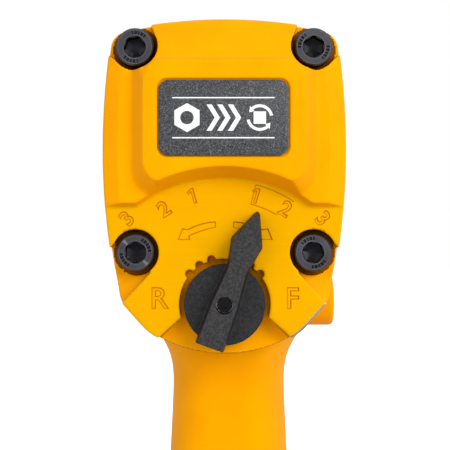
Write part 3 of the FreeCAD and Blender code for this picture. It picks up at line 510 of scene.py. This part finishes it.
def casting(node):
    """Remeshed copy of a CAD node, its edges rounded as foundry and paint leave them."""
    voxel, rounds, share = CASTINGS[node]
    piece = add_object(node + "_casting", plain_copy(node), BODY_OF[node], SLOT_OF[node])
    remesh = piece.modifiers.new("remesh", "REMESH")
    remesh.mode = "VOXEL"
    remesh.voxel_size = voxel
    soften = piece.modifiers.new("soften", "SMOOTH")
    soften.factor = 0.5
    soften.iterations = rounds
    thin = piece.modifiers.new("thin", "DECIMATE")
    thin.ratio = share
    apply_modifiers(piece)
    shade(piece.data)
    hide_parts(node)
    return piece


def bevelled(node):
    """Copy of a CAD node with its sharp edges broken."""
    mesh = plain_copy(node)
    work = bmesh.new()
    work.from_mesh(mesh)
    bmesh.ops.dissolve_limit(work, angle_limit=math.radians(1.0), verts=work.verts, edges=work.edges)
    walls = [edge for edge in work.edges if len(edge.link_faces) == 2]
    sharp = [edge for edge in walls if edge.calc_face_angle(0.0) > CREASE]
    bmesh.ops.bevel(work, geom=sharp, offset=BROKEN_EDGES[node], segments=2, profile=0.5,
                    affect="EDGES", clamp_overlap=True)
    work.to_mesh(mesh)
    work.free()
    shade(mesh)
    piece = add_object(node + "_fine", mesh, BODY_OF[node], SLOT_OF[node])
    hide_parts(node)


def flat_shape(work, rings, y, thickness):
    """Adds a flat plate bounded by one ring of (x, z) points, with holes for further rings."""
    edges = []
    for ring in rings:
        verts = [work.verts.new((x, y, z)) for x, z in ring]
        edges += [work.edges.new((verts[i - 1], verts[i])) for i in range(len(verts))]
    filled = bmesh.ops.triangle_fill(work, use_beauty=True, use_dissolve=False, edges=edges)
    faces = [item for item in filled["geom"] if isinstance(item, bmesh.types.BMFace)]
    raised = bmesh.ops.extrude_face_region(work, geom=faces)
    verts = [item for item in raised["geom"] if isinstance(item, bmesh.types.BMVert)]
    bmesh.ops.translate(work, verts=verts, vec=(0.0, -thickness, 0.0))


def plates(name, shapes, y, thickness):
    """Mesh of flat plates that stand out backwards from a plane, each given by its rings."""
    work = bmesh.new()
    for rings in shapes:
        flat_shape(work, rings, y, thickness)
    bmesh.ops.recalc_face_normals(work, faces=work.faces)
    return new_mesh(name, work)


def circle(x, z, radius, count, start=0.0):
    """Points round a circle."""
    steps = [start + 2 * math.pi * i / count for i in range(count)]
    return [(x + radius * math.cos(a), z + radius * math.sin(a)) for a in steps]


def rectangle(x_low, x_high, z_low, z_high):
    """Corner points of a rectangle."""
    return [(x_low, z_low), (x_high, z_low), (x_high, z_high), (x_low, z_high)]


def within(value, limits):
    """Whether a value lies between two limits."""
    return limits[0] < value < limits[1]


# ---- cutting -----------------------------------------------------------------------------
def cutter_object(meshes):
    """Closed meshes joined in one object, their faces turned outwards."""
    whole = bmesh.new()
    for mesh in meshes:
        part = bmesh.new()
        part.from_mesh(mesh)
        bmesh.ops.remove_doubles(part, verts=part.verts, dist=0.5 * MICRON)
        bmesh.ops.recalc_face_normals(part, faces=part.faces)
        if part.calc_volume(signed=True) < 0.0:
            bmesh.ops.reverse_faces(part, faces=part.faces)
        part.to_mesh(mesh)
        part.free()
        whole.from_mesh(mesh)
    piece = bpy.data.objects.new("cutter", new_mesh("cutter", whole))
    bpy.context.scene.collection.objects.link(piece)
    return piece


def cut_away(piece, meshes):
    """Cuts closed meshes out of a piece."""
    cutter = cutter_object(meshes)
    sink = piece.modifiers.new("cut", "BOOLEAN")
    sink.object = cutter
    sink.operation = "DIFFERENCE"
    sink.solver = "MANIFOLD"
    apply_modifiers(piece)
    bpy.data.objects.remove(cutter)


# ---- socket-head screws ------------------------------------------------------------------
def screw_places(node):
    """Centre and ends of each screw of a node, one in each quarter round the motor axis."""
    places = []
    for side in (-1, 1):
        for level in (-1, 1):
            verts = [v.co for v in NODES[node].data.vertices if v.co.x * side > 0 and v.co.z * level > 0]
            xs = [co.x for co in verts]
            zs = [co.z for co in verts]
            ys = [co.y for co in verts]
            places.append(((min(xs) + max(xs)) / 2, (min(zs) + max(zs)) / 2, min(ys), max(ys)))
    return places


def screw_rings(length):
    """Shape, radius and depth below the head's top of each ring, from the socket to the tip."""
    return [
        ("hexagon", 2.5, 3.6), ("hexagon", 2.5, 0.42), ("round", 2.95, 0.0), ("round", 3.3, 0.0),
        ("stamped", 3.4, 0.0), ("stamped", 4.1, 0.0), ("round", 4.2, 0.0), ("round", 4.5, 0.0),
        ("round", 4.95, 0.5), ("knurled", 5.0, 0.62), ("knurled", 5.0, 5.2), ("round", 4.8, 5.5),
        ("round", 4.8, 6.0), ("round", 3.0, 6.0), ("round", 3.0, length - 0.8), ("round", 2.4, length),
    ]


def stamped_at(step):
    """Whether a stamped tick lies at a step round the head."""
    return step % STAMP_PERIOD in STAMPED_STEPS


def ring_point(shape, radius, step, turn):
    """Point of one ring: round, knurled, or a hexagon of that half-width."""
    angle = 2 * math.pi * step / RING_STEPS
    if shape == "knurled" and step % 2:
        radius *= KNURL_SHARE
    if shape == "hexagon":
        radius /= math.cos((angle + math.pi / 6) % (math.pi / 3) - math.pi / 6)
    return radius * math.cos(angle + turn), radius * math.sin(angle + turn)


def screw_finish(shapes, steps):
    """Finish of one face between two rings: near-black steel as painted shade in the socket and on the
    knurl, and the same steel in the ticks.
    """
    ticked = "stamped" in shapes and any(stamped_at(step) for step in steps)
    return DARK_SHADE if shapes == ["hexagon", "hexagon"] or "knurled" in shapes or ticked else PLAIN


def add_screw(work, place, along, turn):
    """Adds one closed screw, ring by ring from its socket to its tip."""
    x, z, low, high = place
    head = low if along > 0 else high
    profile = screw_rings((high - low) / MM)
    rings = []
    for shape, radius, depth in profile:
        verts = []
        for step in range(RING_STEPS):
            across, up = ring_point(shape, radius * MM, step, turn)
            pit = STAMP_DEPTH_MM if shape == "stamped" and stamped_at(step) else 0.0
            verts.append(work.verts.new((x + across, head + along * (depth + pit) * MM, z + up)))
        rings.append(verts)
    shapes = [shape for shape, _, _ in profile]
    socket_end = work.verts.new((x, head + along * SOCKET_END_MM * MM, z))
    tip = work.verts.new((x, head + along * (high - low), z))
    for step in range(RING_STEPS):
        after = (step + 1) % RING_STEPS
        for i, (inner, outer) in enumerate(zip(rings, rings[1:])):
            face = work.faces.new((inner[step], inner[after], outer[after], outer[step]))
            face.material_index = screw_finish(shapes[i:i + 2], (step, after))
        work.faces.new((socket_end, rings[0][after], rings[0][step])).material_index = DARK_SHADE
        work.faces.new((tip, rings[-1][step], rings[-1][after]))


def cap_screws(node, along):
    """Knurled socket-head screws in place of a CAD node; along is the way from head to tip."""
    work = bmesh.new()
    for index, place in enumerate(screw_places(node)):
        add_screw(work, place, along, SCREW_TURN * index)
    bmesh.ops.recalc_face_normals(work, faces=work.faces)
    mesh = new_mesh(node + "_heads", work)
    shade(mesh)
    finish = [face.material_index for face in mesh.polygons]
    piece = add_object(node + "_heads", mesh, BODY_OF[node], SLOT_OF[node])
    # faces given the dark index get the near-black steel as painted shade
    mesh.materials.append(MATERIALS["socket_painted_shade"])
    mesh.polygons.foreach_set("material_index", finish)
    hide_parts(node)


# ---- marks cut into the dial -------------------------------------------------------------
def mark_cutter(curve, x, z, turn, growth):
    """Cutter from a flat curve or text: walls that narrow from the dial's plane, turned in place."""
    curve.extrude = MARK_CORE
    curve.bevel_depth = MARK_DEPTH
    curve.bevel_resolution = 0
    curve.offset = growth - MARK_DEPTH
    holder = bpy.data.objects.new("cutter", curve)
    bpy.context.scene.collection.objects.link(holder)
    mesh = baked_mesh(holder)
    upright = Matrix.Rotation(math.radians(90), 4, "X")
    mesh.transform(Matrix.Translation((x, DIAL_Y, z)) @ Matrix.Rotation(turn, 4, "Y") @ upright)
    bpy.data.objects.remove(holder)
    return mesh


def glyph(character, height, x, z, turn, growth):
    """Cutter for a letter or number."""
    curve = bpy.data.curves.new("mark", "FONT")
    curve.body = character
    curve.size = height / CAPITAL_SHARE
    curve.align_x = "CENTER"
    curve.align_y = "CENTER"
    return mark_cutter(curve, x, z, turn, growth)


def outline_cutter(outline, x, z, turn):
    """Cutter for a mark drawn as an outline in millimetres about its own centre."""
    curve = bpy.data.curves.new("outline", "CURVE")
    curve.dimensions = "2D"
    curve.fill_mode = "BOTH"
    line = curve.splines.new("POLY")
    line.points.add(len(outline) - 1)
    for point, (across, up) in zip(line.points, outline):
        point.co = (across * MM, up * MM, 0.0, 1.0)
    line.use_cyclic_u = True
    return mark_cutter(curve, x, z, turn, 0.0)


def arrow(side):
    """Cutter for the curved arrow on one side of the dial."""
    outline = [
        (-2.2, -18.7), (-4.1, -18.85), (-6.0, -19.25), (-7.9, -19.9), (-9.66, -20.75), (-11.1, -20.5),
        (-12.3, -23.6), (-8.9, -23.6), (-9.15, -22.6), (-7.4, -21.85), (-5.6, -21.2), (-3.9, -20.7),
        (-2.2, -20.4),
    ]
    return outline_cutter([(-side * ARROW_STRETCH[side] * x, z) for x, z in outline], 0.0, 0.0, 0.0)


def figure_one(x, z, turn):
    """Cutter for the figure 1: a bar with a flag and no foot."""
    outline = [
        (0.6, -2.1), (0.6, 2.1), (-0.2, 2.1), (-1.4, 1.25), (-1.1, 0.5), (-0.35, 0.95), (-0.35, -2.1),
    ]
    return outline_cutter(outline, x, z, turn)


def scribed_frame():
    """Cutter for the fine line round the first two settings of the right-hand scale."""
    inner, outer = SCRIBED_R
    half = SCRIBED_HALF_WIDTH
    start, end = SCRIBED_TURN
    after_start = start + 2 * half / outer
    turns = [start + (end - start) * i / SCRIBED_STEPS for i in range(SCRIBED_STEPS + 1)]
    short = turns[:-SCRIBED_GAP_STEPS]
    line = [(outer + half, turn) for turn in turns]
    line += [(outer - half, turn) for turn in [*reversed(turns[1:]), after_start]]
    line += [(inner + half, turn) for turn in [after_start, *short[1:]]]
    line += [(inner - half, turn) for turn in reversed(short)]
    points = [(SELECTOR.x + r * math.sin(a), SELECTOR.z + r * math.cos(a)) for r, a in line]
    return plates("scribed_frame", [[points]], DIAL_Y + SCRIBED_DEPTH, SCRIBED_DEPTH + SCRIBED_PROUD)


def mark_places():
    """Text, height, centre, turn and stroke growth of each mark."""
    places = []
    for side in (-1, 1):
        for number, radius in NUMBER_RADII.items():
            angle = side * number * NUMBER_STEP
            x = SELECTOR.x + radius * math.sin(angle)
            z = SELECTOR.z + radius * math.cos(angle)
            places.append((str(number), NUMBER_HEIGHT, x, z, angle, NUMBER_GROWTH))
    for letter, x in LETTER_X.items():
        places.append((letter, LETTER_HEIGHT, x, LETTER_Z, 0.0, LETTER_GROWTH))
    return places


# ---- cover, housing and knob -------------------------------------------------------------
def soften_valleys(mesh, wells):
    """Rounds the hollows between the label pad, the crown and the rim."""
    work = bmesh.new()
    work.from_mesh(mesh)
    verts = []
    for vert in work.verts:
        x, y, z = vert.co
        beside_pad = within(abs(x), VALLEY_X) and z > VALLEY_FOOT and within(DIAL_Y - y, VALLEY_RISE)
        if beside_pad and all(math.hypot(x - wx, z - wz) > WELL_CLEARANCE for wx, wz, _, _ in wells):
            verts.append(vert)
    for _ in range(VALLEY_ROUNDS):
        bmesh.ops.smooth_vert(
            work, verts=verts, factor=0.5, use_axis_x=True, use_axis_y=True, use_axis_z=True)
    work.to_mesh(mesh)
    work.free()


def bare_corner(face, depth):
    """Whether a face lies on the dial's lower right edge, where the paint has worn off."""
    x, _, z = face.center
    on_edge = within(depth, BARE_DEPTH) and x > BARE_START and within(z, BARE_Z)
    return on_edge and face.normal.x - face.normal.z > BARE_TILT and x - z > BARE_REACH


def scribed_line(face, depth):
    """Whether a face lies at the bottom of the scribed frame."""
    x = face.center.x - SELECTOR.x
    z = face.center.z - SELECTOR.z
    radii = (SCRIBED_R[0] - SCRIBED_R_MARGIN, SCRIBED_R[1] + SCRIBED_R_MARGIN)
    turns = (SCRIBED_TURN[0] - SCRIBED_TURN_MARGIN, SCRIBED_TURN[1] + SCRIBED_TURN_MARGIN)
    in_band = within(math.hypot(x, z), radii) and within(math.atan2(x, z), turns)
    return in_band and within(depth, SCRIBED_FLOOR)


def cover_finish(face, spots, wells):
    """Index of the finish that one face of the cover has, painted shade included."""
    x, y, z = face.center
    depth = y - DIAL_Y
    # faces in the screw wells get painted shade
    for well_x, well_z, head, _ in wells:
        if math.hypot(x - well_x, z - well_z) < WELL_SHADE_R and y > head + WELL_SHADE_RIM:
            return WELL_SHADE
    if bare_corner(face, depth):
        return WORN
    if abs(depth) > DIAL_BAND:
        # downward-facing faces of the foot get painted shade
        shaded_foot = z < FOOT_TOP and face.normal.z < FOOT_TILT and within(depth, FOOT_DEPTH)
        return MARK_SHADE if shaded_foot else YELLOW
    # the walls of the marks and the floor of the scribed groove get painted shade
    near_mark = any(math.hypot(x - mark_x, z - mark_z) < reach for mark_x, mark_z, reach in spots)
    if near_mark and within(depth, MARK_WALL_DEPTH) and abs(face.normal.y) < MARK_WALL_TILT:
        return MARK_SHADE
    return MARK_SHADE if scribed_line(face, depth) else DIAL


def rear_cover():
    """Painted cover with the marks sunk into its dial."""
    piece = casting("rear_cover")
    wells = screw_places("rear_cover_screws")
    soften_valleys(piece.data, wells)
    places = mark_places()
    cutters = [arrow(-1), arrow(1)]
    for text, height, x, z, turn, growth in places:
        cutters.append(figure_one(x, z, turn) if text == "1" else glyph(text, height, x, z, turn, growth))
    cut_away(piece, cutters)
    cut_away(piece, [scribed_frame()])
    shade(piece.data)
    set_finishes(piece.data, COVER_FINISHES)
    spots = [(x, z, MARK_REACH) for _, _, x, z, _, _ in places]
    spots += [(side * x, ARROW_SPOT_Z, ARROW_SPOT_REACH) for side in (-1, 1) for x in ARROW_SPOT_X]
    # finishes face by face, with painted shade on the mark walls, the foot, the scribed groove and the
    # screw wells
    for face in piece.data.polygons:
        face.material_index = cover_finish(face, spots, wells)


def housing():
    """Painted housing, with square corners in the recess that the trigger slides into."""
    piece = casting("motor_housing")
    low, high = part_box("trigger")
    travel = JOINTS["trigger_pull"]["range_m"][1]
    room = TRIGGER_ROOM
    mouth = rectangle(low.x - room, high.x + room, low.z - room, high.z + room)
    cut_away(piece, [plates("recess", [[mouth]], high.y, high.y - low.y + travel + room)])
    set_finishes(piece.data, ["yellow_paint"])
    shade(piece.data)


def selector_knob():
    """Grained knob whose lever's top faces are paler: painted light on a copy of the black plastic."""
    piece = casting("selector_knob")
    piece.data.materials.append(MATERIALS["lever_top_painted_light"])
    # lever faces that face backwards get the paler copy as painted light
    for face in piece.data.polygons:
        if face.center.y < DISC_TOP and face.normal.y < LEVER_TOP_TILT:
            face.material_index = 1


# ---- print on the label ------------------------------------------------------------------
def chevron(x, z):
    """Points of an arrowhead that points along +X."""
    low, high = z - CHEVRON_HALF_HEIGHT, z + CHEVRON_HALF_HEIGHT
    shoulder = x + CHEVRON_WIDTH
    return [(x, low), (shoulder, low), (shoulder + CHEVRON_REACH, z), (shoulder, high), (x, high),
            (x + CHEVRON_REACH, z)]


def curved_arrow(x, z, start):
    """Points of a band along an arc that ends in an arrowhead."""
    def at(radius, angle):
        return x + radius * math.cos(angle), z + radius * math.sin(angle)

    angles = [start + TURN_SWEEP * i / TURN_STEPS for i in range(TURN_STEPS + 1)]
    outer = [at(TURN_R + TURN_HALF_WIDTH, angle) for angle in angles]
    inner = [at(TURN_R - TURN_HALF_WIDTH, angle) for angle in reversed(angles)]
    end = start + TURN_SWEEP
    tip = at(TURN_R, end + TURN_TIP / TURN_R)
    return outer + [at(TURN_R + TURN_HEAD, end), tip, at(TURN_R - TURN_HEAD, end)] + inner


def label_graphics():
    """Two rules, and between them a nut, arrowheads and a square drive: no lettering."""
    low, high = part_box("label_plate")
    x, _, z = (low + high) / 2
    shapes = []
    for level in RULE_LEVELS:
        shapes.append([rectangle(x - RULE_HALF_LENGTH, x + RULE_HALF_LENGTH,
                                 z + level - RULE_HALF_WIDTH, z + level + RULE_HALF_WIDTH)])
    nut_x = x - SYMBOL_X
    shapes.append([circle(nut_x, z, NUT_R, 6, math.radians(30)), circle(nut_x, z, NUT_HOLE_R, 32)])
    for step in range(3):
        shapes.append([chevron(x + CHEVRON_START + CHEVRON_PITCH * step, z)])
    drive_x = x + SYMBOL_X
    shapes.append([rectangle(drive_x - DRIVE_HALF, drive_x + DRIVE_HALF, z - DRIVE_HALF, z + DRIVE_HALF)])
    for start in TURN_STARTS:
        shapes.append([curved_arrow(drive_x, z, start)])
    mesh = plates("label_graphics", shapes, low.y + PRINT_SINK, PRINT_THICKNESS)
    add_object("label_graphics", mesh, BODY_OF["label_plate"], "label", finish="label_print")


# ---- camera, lights and floor ------------------------------------------------------------
def studio():
    """White surroundings, a pale floor and soft lamps."""
    scene = bpy.context.scene
    scene.view_settings.view_transform = "Standard"
    world = bpy.data.worlds.new("studio")
    world.use_nodes = True
    scene.world = world
    tree = world.node_tree
    seen = tree.nodes.new("ShaderNodeLightPath")
    strength = tree.nodes.new("ShaderNodeMapRange")
    strength.inputs["To Min"].default_value = AMBIENT
    strength.inputs["To Max"].default_value = 1.0
    tree.links.new(seen.outputs["Is Camera Ray"], strength.inputs["Value"])
    tree.links.new(strength.outputs[0], tree.nodes["Background"].inputs["Strength"])
    tree.nodes["Background"].inputs["Color"].default_value = (1.0, 1.0, 1.0, 1.0)
    floor()
    for name, (place, size, power) in LAMPS.items():
        soft_lamp(name, place, size, power)


def floor():
    """Pale floor that shows the tool's soft shadow and fades into the surroundings."""
    mesh = bpy.data.meshes.new("floor")
    level = CAD_BOX[0].z
    corners = rectangle(-FLOOR_HALF, FLOOR_HALF, -FLOOR_HALF, FLOOR_HALF)
    mesh.from_pydata([(x, y, level) for x, y in corners], [], [(0, 1, 2, 3)])
    sheet = bpy.data.objects.new("floor", mesh)
    bpy.context.scene.collection.objects.link(sheet)
    material, shader, place = new_material("floor")
    tone = ramp(material, noise(material, place, 6.0), [(0.3, (0.5, 0.5, 0.5)), (0.7, (0.54, 0.54, 0.54))])
    link(material, tone, shader.inputs["Base Color"])
    shader.inputs["Roughness"].default_value = 0.9
    shader.inputs["Specular IOR Level"].default_value = 0.0
    shader.inputs["Emission Color"].default_value = (1.0, 1.0, 1.0, 1.0)
    shader.inputs["Emission Strength"].default_value = FLOOR_GLOW
    mesh.materials.append(material)
    sheet.visible_diffuse = False
    sheet.visible_glossy = False


def aim(holder, place, target):
    """Puts a lamp or camera at a place, looking at a target."""
    holder.location = place
    holder.rotation_mode = "QUATERNION"
    holder.rotation_quaternion = (target - Vector(place)).to_track_quat("-Z", "Y")
    bpy.context.scene.collection.objects.link(holder)


def soft_lamp(name, place, size, power):
    """Square area lamp aimed at the tool."""
    lamp = bpy.data.lights.new(name, "AREA")
    lamp.shape = "SQUARE"
    lamp.size = size
    lamp.energy = power
    aim(bpy.data.objects.new(name, lamp), place, (CAD_BOX[0] + CAD_BOX[1]) / 2)


def camera():
    """Close view straight at the rear cover, a little below the motor's axis."""
    data = bpy.data.cameras.new("camera")
    data.sensor_width = 36.0
    data.angle = FIELD_OF_VIEW
    data.clip_start = 0.01
    holder = bpy.data.objects.new("camera", data)
    place = Vector((CAMERA_X, SCREW_PLANE - CAMERA_DISTANCE, CAMERA_Z))
    aim(holder, place, Vector((AIM_X, SCREW_PLANE, AIM_Z)))
    bpy.context.scene.camera = holder


# ---- build -------------------------------------------------------------------------------
for name, node in NODES.items():
    for slot in node.material_slots:
        slot.link = "OBJECT"
        slot.material = MATERIALS[SLOT_OF[name]]

# the selector screw, deep in the lever's hole, gets near-black steel as painted shade
NODES["selector_screw"].material_slots[0].material = MATERIALS["socket_painted_shade"]
rear_cover()
housing()
casting("hammer_case")
selector_knob()
casting("trigger")
cap_screws("rear_cover_screws", 1)
cap_screws("case_screws", -1)
for part in BROKEN_EDGES:
    bevelled(part)
label_graphics()
studio()
camera()
